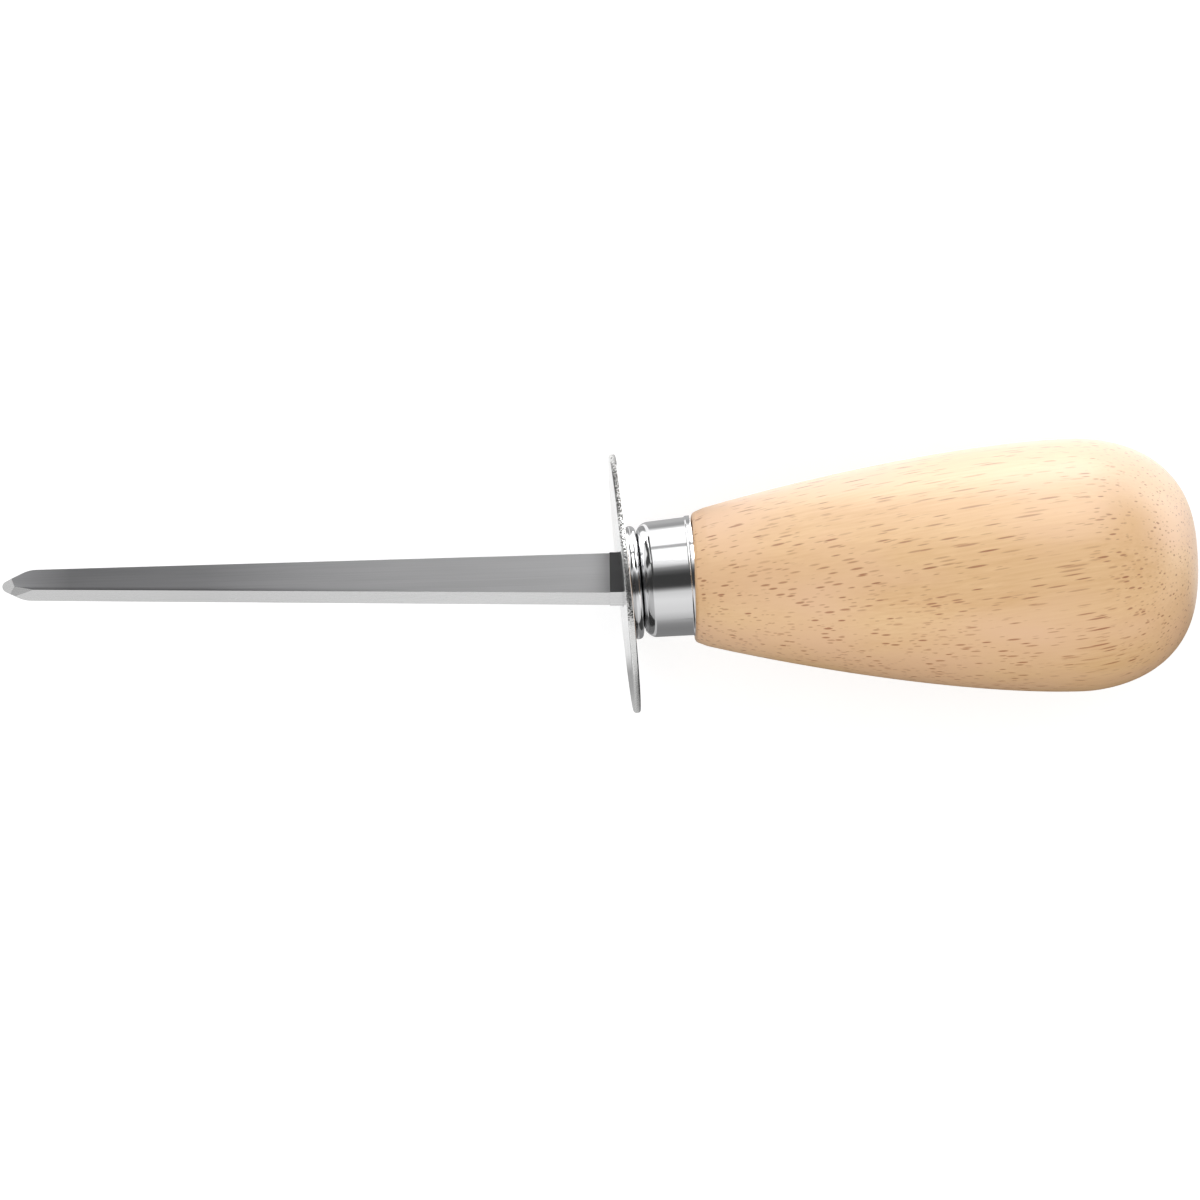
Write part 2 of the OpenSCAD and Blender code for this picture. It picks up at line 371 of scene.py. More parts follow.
@dataclass(frozen=True)
class PolishedSteel:
    """Stainless steel sheet as rolled and polished: a near mirror with faint haze."""

    name: str = "polished_steel"
    colour: str = "#d2d2d2"
    roughness: float = 0.13
    haze: Span = (-0.03, 0.04)
    haze_mm: Place = (3.0, 3.0, 3.0)
    wave_mm: Place = (5.0, 5.0, 5.0)
    relief: float = 0.5
    wave_depth_mm: float = 0.002

    def material(self) -> bpy.types.Material:
        """Builds the material, with soft haze in its roughness and a very slight wave.

        Returns:
            The material.
        """
        material, tree = new_material(self.name)
        haze = pattern(tree, self.haze_mm, detail=5.0)
        wave = pattern(tree, self.wave_mm, detail=1.0)
        rough = tuple(self.roughness + change for change in self.haze)
        depth = self.wave_depth_mm * MM
        bump = {"Height": wave, "Strength": self.relief, "Distance": depth}
        finish_surface(
            tree,
            {
                "Base Color": linear(self.colour),
                "Metallic": 1.0,
                "Roughness": add_node(tree, RANGE, None, (haze, *NOISE_SPAN, *rough)),
                "Normal": add_node(tree, "ShaderNodeBump", inputs=bump),
            },
        )
        return material


@dataclass(frozen=True)
class ShearedEdge:
    """The blanked rim of sheet steel: torn grey on one side, bright and speckled on the other."""

    name: str = "sheared_edge"
    burnished: str = "#efefee"
    torn: str = "#3a3836"
    turns_torn: Span = (0.2, 0.85)
    roughness: float = 0.26
    torn_roughness: float = 0.2
    speck_mm: Place = (0.22, 0.22, 0.22)
    speck_span: Span = (0.4, 0.6)
    speck_swing: float = 0.6
    fades_in: Span = (0.05, 0.3)
    fades_out: Span = (0.3, 0.9)
    faintest: Span = (0.25, 0.3)
    relief: float = 0.7
    tear_depth_mm: float = 0.05
    # How torn the rim is at heights across the disc: partly torn texture, partly painted shade
    # along the rim.
    torn_and_shade_stops: Stops = (
        (-20.0, 0.1),
        (-7.5, 0.06),
        (-6.0, 0.42),
        (-0.5, 0.42),
        (1.5, 0.22),
        (7.4, 0.35),
        (9.3, 0.73),
        (12.2, 0.75),
        (15.3, 0.85),
        (17.2, 0.48),
        (19.4, 0.15),
    )

    def material(self) -> bpy.types.Material:
        """Builds the material.

        How torn it is, and so how dark, is set at heights across the disc: partly the torn texture
        and partly painted shade along the rim. The tears are about 0.1 mm wide and drawn twice as
        coarse. The specks stand out most where the rim is a third torn, and fade where it is nearly
        all burnished or all torn.

        Returns:
            The material.
        """
        material, tree = new_material(self.name)
        specks = pattern(tree, self.speck_mm, detail=2.0)
        # The torn share at each height, partly painted shade along the rim.
        low, high = self.torn_and_shade_stops[0][0], self.torn_and_shade_stops[-1][0]
        height = own_place(tree).outputs["Y"]
        along = add_node(tree, RANGE, None, (height, low * MM, high * MM, 0.0, 1.0))
        stops = [((y - low) / (high - low), grey(share)) for y, share in self.torn_and_shade_stops]
        share = add_node(tree, "ShaderNodeValToRGB", inputs=(along,), stops=stops)
        swing = (-self.speck_swing, self.speck_swing)
        speckled = add_node(tree, RANGE, None, (specks, *self.speck_span, *swing))
        rising = add_node(tree, RANGE, None, (share, *self.fades_in, self.faintest[0], 1.0))
        falling = add_node(tree, RANGE, None, (share, *self.fades_out, 1.0, self.faintest[1]))
        contrast = add_node(tree, MATH, {"operation": "MULTIPLY"}, (rising, falling))
        level = add_node(tree, MATH, {"operation": "MULTIPLY_ADD"}, (speckled, contrast, share))
        stops = list(zip(self.turns_torn, (linear(self.burnished), linear(self.torn))))
        rough = (self.roughness, self.roughness + self.torn_roughness)
        depth = self.tear_depth_mm * MM
        tears = {"Height": specks, "Strength": self.relief, "Distance": depth}
        finish_surface(
            tree,
            {
                "Base Color": add_node(tree, "ShaderNodeValToRGB", inputs=(level,), stops=stops),
                "Metallic": 1.0,
                "Roughness": add_node(tree, RANGE, None, (level, 0.0, 1.0, *rough)),
                "Normal": add_node(tree, "ShaderNodeBump", inputs=tears),
            },
        )
        return material


@dataclass(frozen=True)
class BrightPlate:
    """Bright plating over drawn steel: a mirror that keeps the drawing tool's faint lines."""

    name: str = "bright_plate"
    colour: str = "#e9e9ea"
    roughness: float = 0.07
    dull: Span = (-0.02, 0.05)
    line_mm: Place = (9.0, 0.3, 0.3)
    relief: float = 0.5
    line_depth_mm: float = 0.0012

    def material(self) -> bpy.types.Material:
        """Builds the material, with the drawing lines along the axis.

        Returns:
            The material.
        """
        material, tree = new_material(self.name)
        lines = pattern(tree, self.line_mm, detail=3.0)
        rough = tuple(self.roughness + change for change in self.dull)
        depth = self.line_depth_mm * MM
        bump = {"Height": lines, "Strength": self.relief, "Distance": depth}
        finish_surface(
            tree,
            {
                "Base Color": linear(self.colour),
                "Metallic": 1.0,
                "Roughness": add_node(tree, RANGE, None, (lines, *NOISE_SPAN, *rough)),
                "Normal": add_node(tree, "ShaderNodeBump", inputs=bump),
            },
        )
        return material


@dataclass(frozen=True)
class Vessels:
    """The long thin vessels of one size in the wood: their pitch, radius in cells and darkness."""

    pitch_mm: Place
    radius: float
    darkness: Span


@dataclass(frozen=True)
class PaleWood:
    """Rubberwood, turned, sanded and thinly sealed: blond, with soft grain and short brown pores.

    The pores are long thin vessels along the grain. The turned surface cuts each one into a dash:
    short where it flares, longer along the belly and a dot on the butt.
    """

    name: str = "pale_wood"
    light: str = "#f2c68b"
    dark: str = "#e3b071"
    pore: str = "#ac6218"
    stain: str = "#e2ab52"
    rosy: str = "#efbf8f"
    rosy_span: Span = (0.4, 0.65)
    roughness: float = 0.5
    uneven: Span = (-0.04, 0.06)
    seal: float = 1.0
    seal_roughness: float = 0.5
    seal_ior: float = 1.8
    grain_turn: float = 7.5
    grain_lift: float = 3.0
    band_mm: Place = (70.0, 8.0, 8.0)
    band_share: float = 0.6
    band_wander: float = 0.3
    patch_mm: Place = (34.0, 13.0, 13.0)
    fibre_mm: Place = (10.0, 0.4, 0.4)
    fibre_height: float = 0.1
    vessels: tuple[Vessels, ...] = (
        Vessels((7.5, 0.56, 0.56), 0.36, (0.3, 1.0)),
        Vessels((5.0, 0.44, 0.44), 0.27, (0.15, 0.7)),
    )
    thinnest: float = 0.6
    pore_edge: Span = (0.6, 1.0)
    relief: float = 0.3
    pore_depth_mm: float = 0.06
    stain_at_mm: Place = (75.0, 5.5, 16.5)
    stain_r_mm: float = 5.0
    stain_strength: float = 0.45

    def pores(self, tree: bpy.types.NodeTree, vessels: Vessels) -> bpy.types.Node:
        """How much of a pore shows, from 0 to 1.

        One vessel lies at the middle of each cell, which is drawn out along the grain. Its width
        and its darkness vary from cell to cell.

        Args:
            tree: the node tree.
            vessels: the vessels' size.

        Returns:
            The node that gives the share.
        """
        vector = object_coordinates(tree, vessels.pitch_mm, self.grain_turn, self.grain_lift)
        cells = add_node(tree, "ShaderNodeTexVoronoi", inputs={"Vector": vector, "Scale": 1.0})
        parts = add_node(tree, "ShaderNodeSeparateColor", inputs=(cells.outputs["Color"],))
        widths = (vessels.radius * self.thinnest, vessels.radius)
        size = add_node(tree, RANGE, None, (parts.outputs[1], 0.0, 1.0, *widths))
        depth = add_node(tree, MATH, {"operation": "DIVIDE"}, (cells, size))
        shape = add_node(tree, RANGE, None, (depth, *self.pore_edge, 1.0, 0.0))
        dark = add_node(tree, RANGE, None, (parts.outputs[2], 0.0, 1.0, *vessels.darkness))
        return add_node(tree, MATH, {"operation": "MULTIPLY"}, (shape, dark))

    def grain(self, tree: bpy.types.NodeTree, fibres: bpy.types.Node) -> bpy.types.NodeSocket:
        """The wood's colour without its pores: bands and fibres, rosy patches and a resin stain.

        Args:
            tree: the node tree.
            fibres: the fine grain.

        Returns:
            The colour's socket.
        """
        turn = (self.grain_turn, self.grain_lift)
        bands = pattern(tree, self.band_mm, 2.0, *turn, distortion=self.band_wander)
        broad = add_node(tree, MATH, {"operation": "MULTIPLY"}, (bands, self.band_share))
        fine = add_node(tree, MATH, {"operation": "MULTIPLY"}, (fibres, 1 - self.band_share))
        tone = add_node(tree, MATH, {"operation": "ADD"}, (broad, fine))
        stops = list(zip(TONE_SPAN, (linear(self.dark), linear(self.light))))
        wood = add_node(tree, "ShaderNodeValToRGB", inputs=(tone,), stops=stops)
        patches = pattern(tree, self.patch_mm, detail=2.0)
        rosy = add_node(tree, RANGE, None, (patches, *self.rosy_span, 0.0, 1.0))
        place = add_node(tree, "ShaderNodeTexCoord").outputs["Object"]
        middle = tuple(c * MM for c in self.stain_at_mm)
        away = add_node(tree, "ShaderNodeVectorMath", {"operation": "DISTANCE"}, (place, middle))
        reach = (away.outputs["Value"], 0.0, self.stain_r_mm * MM, self.stain_strength, 0.0)
        stained = add_node(tree, RANGE, None, reach)
        for share, colour in ((rosy, self.rosy), (stained, self.stain)):
            colours = {0: share, MIX_FIRST: wood, MIX_SECOND: linear(colour)}
            wood = add_node(tree, MIX, {"data_type": "RGBA"}, colours).outputs[MIX_RESULT]
        return wood

    def material(self) -> bpy.types.Material:
        """Builds the material. Its seal follows the pores, which show as small dents in the sheen.

        Returns:
            The material.
        """
        material, tree = new_material(self.name)
        fibres = pattern(tree, self.fibre_mm, 4.0, self.grain_turn, self.grain_lift)
        each = tuple(self.pores(tree, vessels) for vessels in self.vessels)
        pores = add_node(tree, MATH, {"operation": "MAXIMUM"}, each)
        colours = {0: pores, MIX_FIRST: self.grain(tree, fibres), MIX_SECOND: linear(self.pore)}
        raised = add_node(tree, MATH, {"operation": "MULTIPLY"}, (fibres, self.fibre_height))
        height = add_node(tree, MATH, {"operation": "SUBTRACT"}, (raised, pores))
        depth = self.pore_depth_mm * MM
        dents = {"Height": height, "Strength": self.relief, "Distance": depth}
        bump = add_node(tree, "ShaderNodeBump", inputs=dents)
        rough = tuple(self.roughness + change for change in self.uneven)
        colour = add_node(tree, MIX, {"data_type": "RGBA"}, colours)
        finish_surface(
            tree,
            {
                "Base Color": colour.outputs[MIX_RESULT],
                "Roughness": add_node(tree, RANGE, None, (fibres, *NOISE_SPAN, *rough)),
                "Coat Weight": self.seal,
                "Coat Roughness": self.seal_roughness,
                "Coat IOR": self.seal_ior,
                "Coat Normal": bump,
                "Normal": bump,
            },
        )
        return material


def cubic(points: tuple[Span, Span, Span, Span], steps: int) -> np.ndarray:
    """Points of a cubic curve: each control point weighted by its Bernstein polynomial.

    Args:
        points: the four control points.
        steps: how many points the curve gets.

    Returns:
        One row for each point.
    """
    t = np.linspace(0.0, 1.0, steps)[:, None]
    u = 1.0 - t
    p0, p1, p2, p3 = (np.array(p, float) for p in points)
    return u**3 * p0 + 3 * u * u * t * p1 + 3 * u * t * t * p2 + t**3 * p3


def arc(centre: Span, radius: float, start: float, end: float, steps: int) -> np.ndarray:
    """Points of a circle's arc: the centre plus the radius along each angle in degrees."""
    angle = np.radians(np.linspace(start, end, steps))
    return np.array(centre) + radius * np.stack([np.cos(angle), np.sin(angle)], 1)


def mesh_object(
    name: str, points_mm: np.ndarray, faces: list, place: Matrix, sharp_deg: float
) -> bpy.types.Object:
    """Makes a smooth mesh object with its place in its mesh.

    Args:
        name: the object's name.
        points_mm: vertices in millimetres in their own frame.
        faces: lists of vertex numbers.
        place: that frame in the row's frame, in millimetres.
        sharp_deg: edges that turn by more than this stay sharp.

    Returns:
        The object, linked to the scene.
    """
    turn = np.array(place.to_3x3())
    shift = np.array(place.translation)
    placed = (points_mm @ turn.T + shift) * MM
    mesh = bpy.data.meshes.new(name)
    mesh.from_pydata(placed.tolist(), [], faces)
    mesh.update()
    mesh.polygons.foreach_set("use_smooth", [True] * len(mesh.polygons))
    mesh.set_sharp_from_angle(angle=math.radians(sharp_deg))
    piece = bpy.data.objects.new(name, mesh)
    bpy.context.scene.collection.objects.link(piece)
    return piece


def ring_faces(rings: int, around: int, closed: bool) -> np.ndarray:
    """Quads between the neighbouring rings of a grid.

    Args:
        rings: how many rings there are.
        around: how many points each ring has.
        closed: whether the last ring is joined to the first.

    Returns:
        Four vertex numbers for each quad.
    """
    ring = np.arange(rings if closed else rings - 1)[:, None]
    step = np.arange(around)[None, :]
    after = (step + 1) % around
    here, above = ring * around, (ring + 1) % rings * around
    return np.stack([here + step, here + after, above + after, above + step], -1).reshape(-1, 4)


def outward(piece: bpy.types.Object) -> None:
    """Turns every face of a closed mesh outwards.

    Args:
        piece: the object, whose mesh is changed.
    """
    shape = bmesh.new()
    shape.from_mesh(piece.data)
    bmesh.ops.recalc_face_normals(shape, faces=shape.faces)
    if shape.calc_volume(signed=True) < 0:
        bmesh.ops.reverse_faces(shape, faces=shape.faces)
    shape.to_mesh(piece.data)
    shape.free()


def turned_piece(
    name: str, profile: np.ndarray, place: Matrix, around: int, sharp_deg: float = 30.0
) -> bpy.types.Object:
    """Turns a profile about X and closes it at both poles.

    A point at radius r, distance x and angle a lies at (x, r cos a, r sin a). The profile's first
    and last points lie on the axis, and each is one vertex with a fan of triangles round it.

    Args:
        name: the object's name.
        profile: rows of radius and x, from pole to pole.
        place: the profile's frame in the row's frame, in millimetres.
        around: how many steps go round.
        sharp_deg: edges that turn by more than this stay sharp.

    Returns:
        The object.
    """
    angle = np.linspace(0.0, 2 * np.pi, around, endpoint=False)
    radius, x = profile[1:-1, 0][:, None], profile[1:-1, 1][:, None]
    grid = np.stack([x + 0 * angle, radius * np.cos(angle), radius * np.sin(angle)], -1)
    poles = [[profile[0, 1], 0, 0], [profile[-1, 1], 0, 0]]
    points = np.concatenate([grid.reshape(-1, 3), poles])
    step = np.arange(around)
    after = (step + 1) % around
    first, last = len(points) - 2, len(points) - 1
    base = first - around
    front_fan = np.stack([np.full(around, first), after, step], 1)
    back_fan = np.stack([np.full(around, last), base + step, base + after], 1)
    quads = ring_faces(len(grid), around, closed=False)
    faces = quads.tolist() + front_fan.tolist() + back_fan.tolist()
    piece = mesh_object(name, points, faces, place, sharp_deg)
    outward(piece)
    return piece


@dataclass(frozen=True)
class Seating:
    """How the pieces sit on each other, and the frames that follow from it."""

    fitting_lean: float = 3.3
    guard_lean: float = 0.6
    blade_cant: float = 1.2
    blade_drop: float = 0.15
    ferrule_bed: float = 0.25
    ferrule_rise: float = 0.25
    seat_gap: float = 0.02
    ferrule_len: float = 8.25
    collar_t: float = 1.7
    collar_d: float = 17.0
    guard_t: float = 1.0

    @property
    def guard_rear(self) -> float:
        """Distance of the guard's rear face from the fittings' pivot."""
        return self.ferrule_len + self.collar_t + self.seat_gap

    @property
    def guard_front(self) -> float:
        """Distance of the guard's front face from the fittings' pivot."""
        lean = math.radians(self.guard_lean)
        return self.guard_rear + self.guard_t * math.cos(lean) + self.guard_bearing * math.sin(lean)

    @property
    def guard_bearing(self) -> float:
        """Distance from the fittings' line to the side of the collar that the guard bears on."""
        return (self.collar_d - self.collar_t) / 2

    def handle(self) -> Matrix:
        """The handle's line, placed so that the guard's front face is at zero.

        Returns:
            The frame whose origin is the middle of the handle's front face.
        """
        lean, more = math.radians(self.fitting_lean), math.radians(self.guard_lean)
        sag = self.guard_bearing * (1 - math.cos(more)) + self.guard_t * math.sin(more)
        centre = Matrix.Rotation(lean, 4, "Z") @ Vector((-self.guard_front, -sag, 0.0))
        return Matrix.Translation(-Vector((self.ferrule_bed, 0.0, 0.0)) - centre)

    def fittings(self) -> Matrix:
        """The leaning line of the collar."""
        lean = Matrix.Rotation(math.radians(self.fitting_lean), 4, "Z")
        return self.handle() @ Matrix.Translation((self.ferrule_bed, 0.0, 0.0)) @ lean

    def guard(self) -> Matrix:
        """The guard's own line, turned about the side that bears on the collar.

        Returns:
            The frame whose origin is the middle of the guard's rear face.
        """
        bearing = Vector((0.0, self.guard_bearing, 0.0))
        turn = Matrix.Rotation(math.radians(self.guard_lean), 4, "Z")
        pivot = Matrix.Translation(Vector((-self.guard_rear, 0.0, 0.0)) - bearing)
        return self.fittings() @ pivot @ turn @ Matrix.Translation(bearing)

    def ferrule(self) -> Matrix:
        """The ferrule's line, a little above the collar's."""
        return self.fittings() @ Matrix.Translation((0.0, self.ferrule_rise, 0.0))

    def blade(self) -> Matrix:
        """The canted line of the blade and its tang."""
        drop = Matrix.Translation((0.0, -self.blade_drop, 0.0))
        return self.handle() @ drop @ Matrix.Rotation(math.radians(-self.blade_cant), 4, "Z")


@dataclass
class Handle:
    """The turned pear handle: a long flaring side and a full rounded butt."""

    seating: Seating
    length: float = 75.2
    front_d: float = 19.7
    belly_d: float = 37.78
    belly_at: float = 57.6
    flare: float = 15.0
    front_reach: float = 13.8
    belly_reach: float = 18.0
    butt_reach: float = 4.5
    end_reach: float = 17.0
    end_flat_r: float = 2.5
    corner_r: float = 0.8
    corner_steps: int = 10
    side_steps: int = 120
    butt_steps: int = 90
    around: int = 192
    finish: PaleWood = field(default_factory=PaleWood)

    def profile(self) -> np.ndarray:
        """The outline: a small corner, a cubic curve to the belly and another to the butt.

        Returns:
            Rows of radius and x, from the middle of the front face to the middle of the butt.
        """
        front_r, belly_r = self.front_d / 2, self.belly_d / 2
        rise = math.tan(math.radians(self.flare))
        turn = (front_r - self.corner_r, self.corner_r)
        corner = arc(turn, self.corner_r, -90, -self.flare, self.corner_steps)
        belly = (belly_r, self.belly_at)
        side = (
            (front_r, 0),
            (front_r + self.front_reach * rise, self.front_reach),
            (belly_r, self.belly_at - self.belly_reach),
            belly,
        )
        butt = (
            belly,
            (belly_r, self.belly_at + self.butt_reach),
            (self.end_reach, self.length),
            (self.end_flat_r, self.length),
        )
        flank = cubic(side, self.side_steps)
        past_corner = flank[flank[:, 1] > 2 * self.corner_r]
        end = cubic(butt, self.butt_steps)[1:]
        return np.concatenate([[[0, 0]], corner, past_corner, end, [[0, self.length]]])

    def build(self) -> bpy.types.Object:
        """Builds and dresses the handle.

        Returns:
            The dressed piece.
        """
        piece = turned_piece("handle_wood", self.profile(), self.seating.handle(), self.around)
        piece.data.materials.append(self.finish.material())
        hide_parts("handle")
        return piece


@dataclass
class Ferrule:
    """The drawn cap: a closed front, a rounded shoulder, a slight cone and a flared lip."""

    seating: Seating
    front_d: float = 17.3
    rear_d: float = 17.7
    wall: float = 0.8
    shoulder_r: float = 2.0
    flat_ring: float = 0.1
    cone_span: Span = (0.02, 0.98)
    lip_len: float = 0.95
    lip_flare: float = 0.2
    flare_len: float = 0.28
    lip_edge_r: float = 0.08
    shoulder_steps: int = 24
    cone_steps: int = 12
    edge_steps: int = 6
    inside_steps: int = 8
    around: int = 256
    finish: BrightPlate = field(default_factory=BrightPlate)

    def profile(self) -> np.ndarray:
        """The outline over the outside, round the lip and back along the inside.

        The lip flares along half a cosine wave.

        Returns:
            Rows of radius and x, from the middle of the front to the middle of the inside.
        """
        front_x = -self.seating.ferrule_len + self.seating.seat_gap
        front_r, rear_r = self.front_d / 2, self.rear_d / 2
        lip_r, inside_x = rear_r + self.lip_flare, front_x + self.wall
        round_r = self.shoulder_r - self.wall
        turn = (front_r - self.shoulder_r, front_x + self.shoulder_r)
        shoulder = arc(turn, self.shoulder_r, -90, 0, self.shoulder_steps)
        along = np.linspace(*self.cone_span, self.cone_steps)[:, None]
        cone = shoulder[-1] + along * (np.array([rear_r, -self.lip_len]) - shoulder[-1])
        wave = np.linspace(0, np.pi, self.cone_steps)
        flare_r = rear_r + self.lip_flare * (1 - np.cos(wave)) / 2
        flare = np.stack([flare_r, -self.lip_len + self.flare_len * wave / np.pi], 1)
        tip = (lip_r - self.lip_edge_r, -self.lip_edge_r)
        edge = arc(tip, self.lip_edge_r, 0, 90, self.edge_steps)
        inner = (front_r - self.wall - round_r, inside_x + round_r)
        inside = arc(inner, round_r, 0, -90, self.inside_steps)
        front = [[0, front_x], [turn[0] - self.flat_ring, front_x]]
        mouth = [[lip_r - self.wall, 0], [rear_r - self.wall, -self.lip_len]]
        return np.concatenate([front, shoulder, cone, flare, edge, mouth, inside, [[0, inside_x]]])

    def build(self) -> bpy.types.Object:
        """Builds and dresses the ferrule.

        Returns:
            The dressed piece.
        """
        piece = turned_piece("ferrule_cap", self.profile(), self.seating.ferrule(), self.around)
        piece.data.materials.append(self.finish.material())
        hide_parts("ferrule")
        return piece


@dataclass
class Collar:
    """The thick washer between guard and ferrule, with a fully rounded rim."""

    seating: Seating
    flat_ring: float = 0.1
    rim_steps: int = 40
    around: int = 256
    finish: BrightPlate = field(default_factory=BrightPlate)

    def profile(self) -> np.ndarray:
        """The outline: a flat, half a circle round the rim, and a flat.

        Returns:
            Rows of radius and x, from the middle of the front to the middle of the rear.
        """
        rim_r = self.seating.collar_t / 2
        rear_x = -self.seating.ferrule_len
        front_x = rear_x - self.seating.collar_t
        middle = (self.seating.collar_d / 2 - rim_r, front_x + rim_r)
        flat_r = middle[0] - self.flat_ring
        rim = arc(middle, rim_r, -90, 90, self.rim_steps)
        front, rear = [[0, front_x], [flat_r, front_x]], [[flat_r, rear_x], [0, rear_x]]
        return np.concatenate([front, rim, rear])

    def build(self) -> bpy.types.Object:
        """Builds and dresses the collar.

        Returns:
            The dressed piece.
        """
        piece = turned_piece("collar_ring", self.profile(), self.seating.fittings(), self.around)
        piece.data.materials.append(self.finish.material())
        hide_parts("collar")
        return piece


@dataclass
class Guard:
    """The blanked disc with a slot for the blade, a rolled front edge and a torn rim."""

    seating: Seating
    diameter: float = 38.78
    roll: float = 0.4
    rear_roll: float = 0.3
    roll_steps: int = 12
    rear_steps: int = 10
    flat_ring: float = 0.05
    slot_half_w: float = 4.2
    slot_half_t: float = 1.4
    around: int = 320
    sharp_deg: float = 30.0
    torn_reach: float = 0.2
    torn_rear: float = -0.15
    face: PolishedSteel = field(default_factory=PolishedSteel)
    edge: ShearedEdge = field(default_factory=ShearedEdge)

    def slot_reach(self, angle: np.ndarray, middle_y: float) -> np.ndarray:
        """How far the slot's wall lies along each angle from the guard's centre.

        The nearest of the four lines of a rectangle, whose middle is off the centre along Y.

        Args:
            angle: the angles, in radians.
            middle_y: how far the slot's middle is off the centre.

        Returns:
            The distance along each angle.
        """
        up, down = self.slot_half_w + middle_y, self.slot_half_w - middle_y
        side_y = np.where(np.cos(angle) > 0, up, down)
        along_y = side_y / np.maximum(np.abs(np.cos(angle)), TINY)
        along_z = self.slot_half_t / np.maximum(np.abs(np.sin(angle)), TINY)
        return np.minimum(along_y, along_z)

    def outline(self) -> np.ndarray:
        """The disc's edge: a flat ring, the rolled front, the rolled rear and a flat ring.

        Returns:
            Rows of radius and x.
        """
        disc_r, front_x = self.diameter / 2, -self.seating.guard_t
        front_r, rear_r = disc_r - self.roll, disc_r - self.rear_roll
        front = arc((front_r, front_x + self.roll), self.roll, -90, 0, self.roll_steps)
        rear = arc((rear_r, -self.rear_roll), self.rear_roll, 0, 90, self.rear_steps)
        first, last = [[front_r - self.flat_ring, front_x]], [[rear_r - self.flat_ring, 0.0]]
        return np.concatenate([first, front, rear, last])

    def build(self) -> bpy.types.Object:
        """Builds and dresses the guard.

        Rings run from the slot out over the front face, round the rim and back to the slot. Each
        point lies at (x, r cos a, r sin a), with r from the slot's wall or the disc.

        Returns:
            The dressed piece.
        """
        seat, faces_x = self.seating, (-self.seating.guard_t, 0.0)
        to_blade = seat.guard().inverted() @ seat.blade()
        slope = to_blade[1][0] / to_blade[0][0]
        start = to_blade.translation
        middle = [start.y + (x - start.x) * slope for x in faces_x]
        corners = [
            math.atan2(z, y + middle[0])
            for y in (self.slot_half_w, -self.slot_half_w)
            for z in (self.slot_half_t, -self.slot_half_t)
        ]
        evenly = np.linspace(-np.pi, np.pi, self.around, endpoint=False)
        angle = np.unique(np.concatenate([evenly, corners]))
        front, rear = (self.slot_reach(angle, y) for y in middle)
        ring, outer = self.flat_ring, self.outline()
        rim = [r + 0 * angle for r in outer[:, 0]]
        radius = np.stack([front, front + ring, *rim, rear + ring, rear])
        places = [faces_x[0]] * 2 + list(outer[:, 1]) + [faces_x[1]] * 2
        x = np.array(places)[:, None] + 0 * angle
        points = np.stack([x, radius * np.cos(angle), radius * np.sin(angle)], -1).reshape(-1, 3)
        faces = ring_faces(len(places), len(angle), closed=True)
        piece = mesh_object("guard_disc", points, faces.tolist(), seat.guard(), self.sharp_deg)
        outward(piece)
        piece.data.materials.append(self.face.material())
        piece.data.materials.append(self.edge.material())
        self.mark_rim(piece)
        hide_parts("guard")
        return piece

    def mark_rim(self, piece: bpy.types.Object) -> None:
        """Gives the torn finish to the faces on the disc's rim.

        Args:
            piece: the guard, whose second material is the torn finish.
        """
        to_line = self.seating.guard().inverted()
        torn_r = self.diameter / 2 - self.torn_reach
        for polygon in piece.data.polygons:
            at = to_line @ (Vector(polygon.center) / MM)
            if math.hypot(at.y, at.z) > torn_r and at.x < self.torn_rear:
                polygon.material_index = 1


class Grind(IntEnum):
    """How a face of the blade is finished. Its number is its material's place on the blade."""

    FLAT = 0
    LONG_BEVEL = 1
    RICASSO = 2
    NOSE = 3
    FACET = 4


